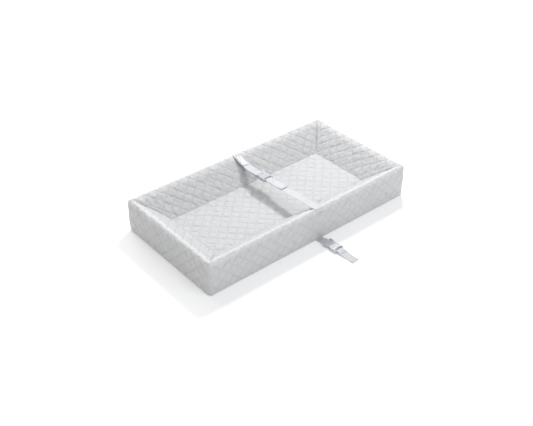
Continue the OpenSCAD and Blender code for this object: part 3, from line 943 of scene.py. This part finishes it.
def make_belt():
    """The two halves of the safety belt, each one strap from its buckle bar to its ridge."""
    across = Matrix.Translation((BELT_X, 0, 0))
    half = WEB_T / 2
    lap = half + LAYER_AIR
    fold_end = -26 * MM
    back = [(fold_end, back_w(fold_end) + lap), (-MERGE + SOCKET_BAR_U, lap)]
    back += bar_loop(SOCKET_BAR_U, 1)
    back += [(SOCKET_BAR_U - MERGE, -lap)]
    back += [(u, back_w(u) - lap) for u in np.arange(-MERGE, -BACK_RUN + 9 * MM, -4 * MM)]
    path = belt_line(back) + ridge_turn(1, 76)
    strap = webbing("belt_back_webbing", across, path, WEB_W, web)
    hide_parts("belt_webbing_back", "belt_end_back")
    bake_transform(strap)

    rows = box_rows(BELT_PLACE, -24 * MM, -14 * MM, SEWN_HALF, lambda u: back_w(u) + WEB_T + 3 * LAYER_AIR)
    sewn = stitches("belt_back_stitches", rows, thread)
    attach(sewn, "belt")

    label_path = [(u, back_w(u) + 0.95 * MM) for u in np.arange(-104, -59.5, 2) * MM]
    label_path = belt_line(label_path)
    label = webbing("care_label", across, label_path, LABEL_W, label_fabric(), thickness=LABEL_T,
                    limp=0.2 * MM)
    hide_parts("belt_label")
    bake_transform(label)
    rows = []
    sides = (-9.2 * MM, 9.2 * MM)
    us = np.arange(-102, -61, 3.0) * MM
    for x in sides:
        rows.append([BELT_PLACE @ Vector((x, u, back_w(u) + 1.28 * MM)) for u in us])
    for u in (us[0], us[-1]):
        rows.append([BELT_PLACE @ Vector((x, u, back_w(u) + 1.28 * MM)) for x in sides])
    border = stitches("care_label_stitches", rows, thread, radius=0.2 * MM)
    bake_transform(border)

    tail_end = 131.8 * MM
    hem = 9 * MM
    main = bar_loop(TONGUE_BAR_U, -1)
    tail = [(tail_end - hem, lap + WEB_T + 0.2 * MM), (tail_end - 1.2 * MM, lap + WEB_T + 0.7 * MM),
            (tail_end, lap + WEB_T / 2 + 0.5 * MM), (tail_end - 1.2 * MM, lap + 0.4 * MM),
            (tail_end - 2.2 * hem, lap + 0.05 * MM), (TONGUE_BAR_U + MERGE, lap)]
    under = [(TONGUE_BAR_U + MERGE, -lap), (117 * MM, -lap), (FRONT_SPLIT, 0)]
    strap = webbing("belt_front_webbing", across, belt_line(tail + main + under), WEB_W, web, soft=2)
    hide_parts("belt_webbing_front")
    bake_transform(strap)
    sewn_from = TONGUE_BAR_U + 15 * MM
    rows = box_rows(BELT_PLACE, sewn_from, TONGUE_BAR_U + 27 * MM, SEWN_HALF, lambda u: lap + half)
    sewn = stitches("belt_front_stitches", rows, thread)
    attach(sewn, "belt_tongue")

    path = belt_line([(FRONT_SPLIT, 0)]) + ridge_turn(-1, 90)
    strap = webbing("belt_front_end", across, path, WEB_W, web, soft=1)
    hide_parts("belt_end_front")
    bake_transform(strap)


ANCHOR_TAIL = 70 * MM
EDGE_U = -32 * MM / math.cos(ANCHOR_TURN)
ANCHOR_LOW_W = 1.2 * MM - ANCHOR_Z


def anchor_tail_w(s):
    drop = (5.8 - 1.3 - 0.35) * MM
    return -WEB_T / 2 - drop * (1 - math.cos(math.pi * min(1, s / (45 * MM)))) / 2


def cross_row(half, u, w):
    """A row of stitches straight across the anchor strap."""
    return [ANCHOR_PLACE @ Vector((x, u, w)) for x in (-half, half)]


def make_anchor_strap():
    """The strap under the front wall: sewn end, second buckle and hemmed tail."""
    lap = WEB_T / 2 + LAYER_AIR
    bend_u = SOCKET_BAR_U - MERGE + 1 * MM
    hinge_u = EDGE_U + 3.4 * MM
    fold = [(bend_u - 7 * MM, -lap + WEB_T - 1.1 * MM), (bend_u, lap - 0.1 * MM)]
    fold += bar_loop(SOCKET_BAR_U, 1)
    fold += [(bend_u, -lap), (hinge_u + 1 * MM, ANCHOR_LOW_W + 0.1 * MM), (EDGE_U - 28 * MM, ANCHOR_LOW_W)]
    strap = webbing("anchor_webbing_sewn", ANCHOR_PLACE, fold, WEB_W, web)
    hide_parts("anchor_root", "anchor_webbing")
    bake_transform(strap)
    top = lap + WEB_T / 2 - 0.1 * MM
    rows = [
        cross_row(11 * MM, bend_u - 0.5 * MM, top),
        cross_row(11 * MM, bend_u + 3.0 * MM, top + 0.35 * MM),
    ]
    sewn = stitches("anchor_stitches", rows, thread)
    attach(sewn, "anchor_strap")

    run = ANCHOR_TAIL - MERGE
    end_u = TONGUE_BAR_U + ANCHOR_TAIL - 1 * MM
    low = anchor_tail_w(run)
    tail = [(TONGUE_BAR_U + MERGE + 5 * MM, lap - 0.15 * MM), (TONGUE_BAR_U + MERGE, lap)]
    tail += bar_loop(TONGUE_BAR_U, -1)
    lead = TONGUE_BAR_U + MERGE - 1 * MM
    tail += [(lead + s, anchor_tail_w(s)) for s in np.linspace(0, run - 13 * MM, 14)]
    tail += [(end_u - 4 * MM, low + 0.5 * MM), (end_u, low + 1.0 * MM)]
    tail += [(end_u + 0.7 * MM, low + 1.7 * MM), (end_u, low + 2.5 * MM), (end_u - 4 * MM, low + 2.1 * MM),
             (end_u - 12 * MM, low + WEB_T + LAYER_AIR)]
    strap = webbing("anchor_webbing_tail", ANCHOR_PLACE, tail, WEB_W, web, soft=2)
    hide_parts("anchor_tail")
    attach(strap, "anchor_tongue")
    hem_w = low + WEB_T * 1.5 + 0.9 * MM
    rows = [
        cross_row(11.5 * MM, end_u - 8.5 * MM, hem_w - 0.45 * MM),
        cross_row(11.5 * MM, end_u - 4.5 * MM, hem_w + 0.35 * MM),
        cross_row(11 * MM, TONGUE_BAR_U + MERGE + 1 * MM, lap + WEB_T / 2),
    ]
    sewn = stitches("anchor_tail_stitches", rows, thread)
    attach(sewn, "anchor_tongue")


make_belt()
make_anchor_strap()

# ---- buckles ----


def soften_node(name, material, width):
    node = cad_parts[name]
    node.data.materials.clear()
    node.data.materials.append(material)
    bevel = node.modifiers.new("moulded_edges", "BEVEL")
    bevel.width = width
    bevel.segments = 3
    bevel.limit_method = "ANGLE"
    bevel.angle_limit = math.radians(35)
    bevel.harden_normals = True
    return node


def bars(name, place, boxes, material):
    """Soft-edged moulded bars, each (x, u, w, length across, width along, height)."""
    points, faces = [], []
    for x, u, w, dx, du, dw in boxes:
        base = len(points)
        for level, grow in ((0, 1.0), (0.6, 1.0), (1.0, 0.55)):
            for sx, su in ((-1, -1), (1, -1), (1, 1), (-1, 1)):
                trim = (1 - grow) * abs(dw)
                across = x + sx * (dx / 2 - trim)
                points.append(place @ Vector((across, u + su * (du / 2 - trim), w + dw * level)))
        faces += ring_faces(base, 4, 2)
        faces.append((base + 3, base + 2, base + 1, base))
        faces.append((base + 8, base + 9, base + 10, base + 11))
    piece = new_mesh(name, points, faces, material, smooth=False)
    face_outward(piece)
    bevel = piece.modifiers.new("moulded_edges", "BEVEL")
    bevel.width = 0.25 * MM
    bevel.segments = 2
    return piece


# Height of the faces under the ribs over the buckle's middle plane, and of the ribs over the faces
SOCKET_FACE = 5.42 * MM
TONGUE_FACE = 5.02 * MM
RIB_HEIGHT = 0.85 * MM
RIB_LYING = 0.33 * MM


def make_buckle(prefix, place, socket_body, tongue_body, rib_under):
    """Moulded edges and ribs. rib_under is the lower ribs' height, less where it lies on the floor."""
    for part in ("socket", "tongue", "prong_left", "prong_right"):
        soften_node(prefix + "_" + part, buckle_plastic, 0.6 * MM)
    boxes = []
    for side in (-1, 1):
        top = side * SOCKET_FACE
        height = RIB_HEIGHT if side > 0 else rib_under
        for k in range(5):
            boxes.append((0, (12 + 3.1 * k) * MM, top, 19 * MM, 1.5 * MM, side * height))
        boxes.append((0, 33.2 * MM, top, 28 * MM, 2.6 * MM, side * min(height, 0.7 * MM)))
    ribs = bars(prefix + "_socket_ribs", place, boxes, buckle_plastic)
    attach(ribs, socket_body)
    boxes = []
    for side in (-1, 1):
        boxes.append((0, 41.6 * MM, side * TONGUE_FACE, 26 * MM, 2.4 * MM, side * 0.7 * MM))
    ribs = bars(prefix + "_tongue_ribs", place, boxes, buckle_plastic)
    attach(ribs, tongue_body)


make_buckle("belt", BELT_PLACE, "belt", "belt_tongue", RIB_HEIGHT)
make_buckle("anchor", ANCHOR_PLACE, "anchor_strap", "anchor_tongue", RIB_LYING)

# ---- zip ----

ZIP_HALF = 290 * MM
TAPE_HALF = 306 * MM
TOOTH_PITCH = 2.6 * MM
ZIP_PLACE = (Matrix.Translation((0, HALF_WID, ZIP_Z)) @ Matrix.Rotation(math.pi, 4, "Z")
             @ Matrix.Rotation(math.pi / 2, 4, "X"))


def tape_fabric():
    g = Graph("zip_tape", (0.78, 0.78, 0.80), 0.6)
    g.set(sheen=0.2)
    uv, u, v = g.uv()
    rise = g.plus(g.math("PINGPONG", u, 0.9 * MM), v)
    twill = g.wave(rise, 0.8 * MM)
    patchy = g.times(g.noise(uv, 300, 2), 0.8)
    g.color(g.color_mix(patchy, (0.56, 0.56, 0.59), (0.64, 0.64, 0.66)))
    g.bump(twill, 0.1 * MM, 0.6)
    return g.material


def make_zip():
    tape = tape_fabric()
    for name, side in (("upper", 1), ("lower", -1)):
        path = [(-TAPE_HALF, 0), (TAPE_HALF, 0)]
        middle = side * (1.55 + 7.45 / 2) * MM
        lengthways = Matrix.Rotation(-math.pi / 2, 4, "Z")
        place = ZIP_PLACE @ Matrix.Translation((0, middle, -1.5 * MM)) @ lengthways
        band = webbing("zip_tape_" + name + "_woven", place, path, 7.6 * MM, tape, thickness=0.9 * MM,
                       step=4 * MM, soft=0, limp=0.1 * MM)
        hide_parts("zip_tape_" + name)
        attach(band, "pad")
        count = int(2 * ZIP_HALF / TOOTH_PITCH)
        boxes = []
        for k in range(count):
            x = -ZIP_HALF + (k + (0.75 if side > 0 else 0.25)) * TOOTH_PITCH
            boxes.append((x, side * 0.72 * MM, -2.15 * MM, 1.25 * MM, 2.5 * MM, 1.7 * MM))
        teeth = bars("zip_teeth_" + name + "_row", ZIP_PLACE, boxes, zip_plastic)
        teeth.modifiers.clear()
        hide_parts("zip_teeth_" + name)
        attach(teeth, "pad")
        row_y = side * 8.2 * MM
        row_half = TAPE_HALF - 2 * MM
        row = [[ZIP_PLACE @ Vector((x, row_y, -0.72 * MM)) for x in (-row_half, row_half)]]
        sewn = stitches("zip_" + name + "_stitches", row, thread, radius=0.22 * MM)
        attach(sewn, "pad")
    for name in ("zip_stops", "zip_slider", "zip_pull"):
        soften_node(name, zip_plastic, 0.25 * MM)


make_zip()

# ---- bottom panel and foam ----


def base_fabric():
    """Grey-white non-skid cloth: a coarse weave with a soft blotchy tone; the grip dots are separate pieces.
    """
    g = Graph("non_skid_cloth", (0.56, 0.57, 0.59), 0.75)
    g.set(sheen=0.1)
    place = g.place()
    split = g.tree.nodes.new("ShaderNodeSeparateXYZ")
    g.tree.links.new(place, split.inputs[0])
    x, y = split.outputs[0], split.outputs[1]
    weave = g.times(g.wave(x, 1.4 * MM), g.wave(y, 1.4 * MM))
    g.color(g.color_mix(g.noise(place, 40, 3), (0.50, 0.51, 0.53), (0.62, 0.62, 0.64)))
    g.bump(g.plus(weave, g.noise(place, 700, 2)), 0.15 * MM, 0.6)
    return g.material


def rubber_dots():
    g = Graph("grip_dots", (0.66, 0.67, 0.69), 0.5)
    g.set(specular=0.4)
    fine = g.noise(g.place(), 1500, 2)
    g.color(g.color_mix(fine, (0.60, 0.61, 0.63), (0.70, 0.71, 0.73)))
    g.bump(fine, 0.05 * MM, 0.4)
    return g.material


def make_base():
    """Bottom panel with its edge turned up, and grip dots that just touch the table."""
    inset = 1.2 * MM
    radius = CORNER_R - inset
    half_x, half_y = HALF_LEN - inset, HALF_WID - inset
    outline = []
    for sx, sy, start in ((1, 1, 0), (-1, 1, 90), (-1, -1, 180), (1, -1, 270)):
        centre = (sx * (half_x - radius), sy * (half_y - radius))
        outline += arc_points(centre, radius, start, start + 90, 6)
    count = len(outline)
    points, faces = [], []
    levels = [(0.90, 0.8), (0.985, 0.75), (0.995, 0.85), (1.0, 1.6), (0.996, 2.7), (0.97, 2.9)]
    for scale, z in levels:
        for x, y in outline:
            shrink = (1 - scale) * half_y
            inner_x = x - math.copysign(min(shrink, abs(x)), x)
            inner_y = y - math.copysign(min(shrink, abs(y)), y)
            points.append((inner_x, inner_y, z * MM))
    faces += ring_faces(0, count, len(levels) - 1)
    faces.append(tuple(reversed(range(count))))
    faces.append(tuple((len(levels) - 1) * count + k for k in range(count)))
    base = new_mesh("non_skid_panel", points, faces, base_fabric(), smooth=False)
    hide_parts("cover_bottom")
    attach(base, "pad")

    pitch, dot_r = 15 * MM, 2.2 * MM
    points, faces = [], []
    for i in range(-26, 27):
        for j in range(-13, 14):
            x, y = i * pitch, j * pitch + (pitch / 2 if i % 2 else 0)
            if abs(y) > HALF_WID - 12 * MM or (abs(x - BELT_X) < 18 * MM and y < -170 * MM):
                continue
            ring = len(points)
            for size, z in ((1.0, 0.85 * MM), (0.85, 0.3 * MM), (0.45, 0.02 * MM)):
                points += [(x + size * dot_r * math.cos(math.radians(45 * k)),
                            y + size * dot_r * math.sin(math.radians(45 * k)), z) for k in range(8)]
            faces += [(b, a, d, c) for a, b, c, d in ring_faces(ring, 8, 2)]
            faces.append(tuple(ring + 16 + k for k in reversed(range(8))))
            faces.append(tuple(ring + k for k in range(8)))
    dots = new_mesh("grip_dot_rows", points, faces, rubber_dots())
    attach(dots, "pad")


def foam_material():
    """Open-cell foam: fine pores and a faint yellow tint."""
    g = Graph("foam_cells", (0.84, 0.82, 0.74), 0.9)
    g.set(specular=0.1)
    cells = g.tree.nodes.new("ShaderNodeTexVoronoi")
    cells.inputs["Scale"].default_value = 900
    g.tree.links.new(g.place(), cells.inputs["Vector"])
    pores = g.times(cells.outputs["Distance"], 0.8)
    g.color(g.color_mix(pores, (0.84, 0.82, 0.74), (0.70, 0.67, 0.58)))
    g.bump(cells.outputs["Distance"], 0.3 * MM, 0.6)
    return g.material


def make_foam():
    """Soft-cornered foam blocks inside the cover."""
    material = foam_material()
    for node in ("foam_base", "foam_wall_front", "foam_wall_back", "foam_wall_left", "foam_wall_right"):
        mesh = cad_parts[node].data.copy()
        piece = bpy.data.objects.new(node.replace("foam", "foam_block"), mesh)
        bpy.context.collection.objects.link(piece)
        mesh.materials.clear()
        mesh.materials.append(material)
        remesh = piece.modifiers.new("cells", "REMESH")
        remesh.mode = "VOXEL"
        remesh.voxel_size = 6 * MM
        relax = piece.modifiers.new("relax", "SMOOTH")
        relax.iterations = 3
        tuck = piece.modifiers.new("tuck", "DISPLACE")
        tuck.strength = -0.6 * MM
        tuck.mid_level = 0
        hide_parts(node)
        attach(piece, "pad")


make_base()
make_foam()
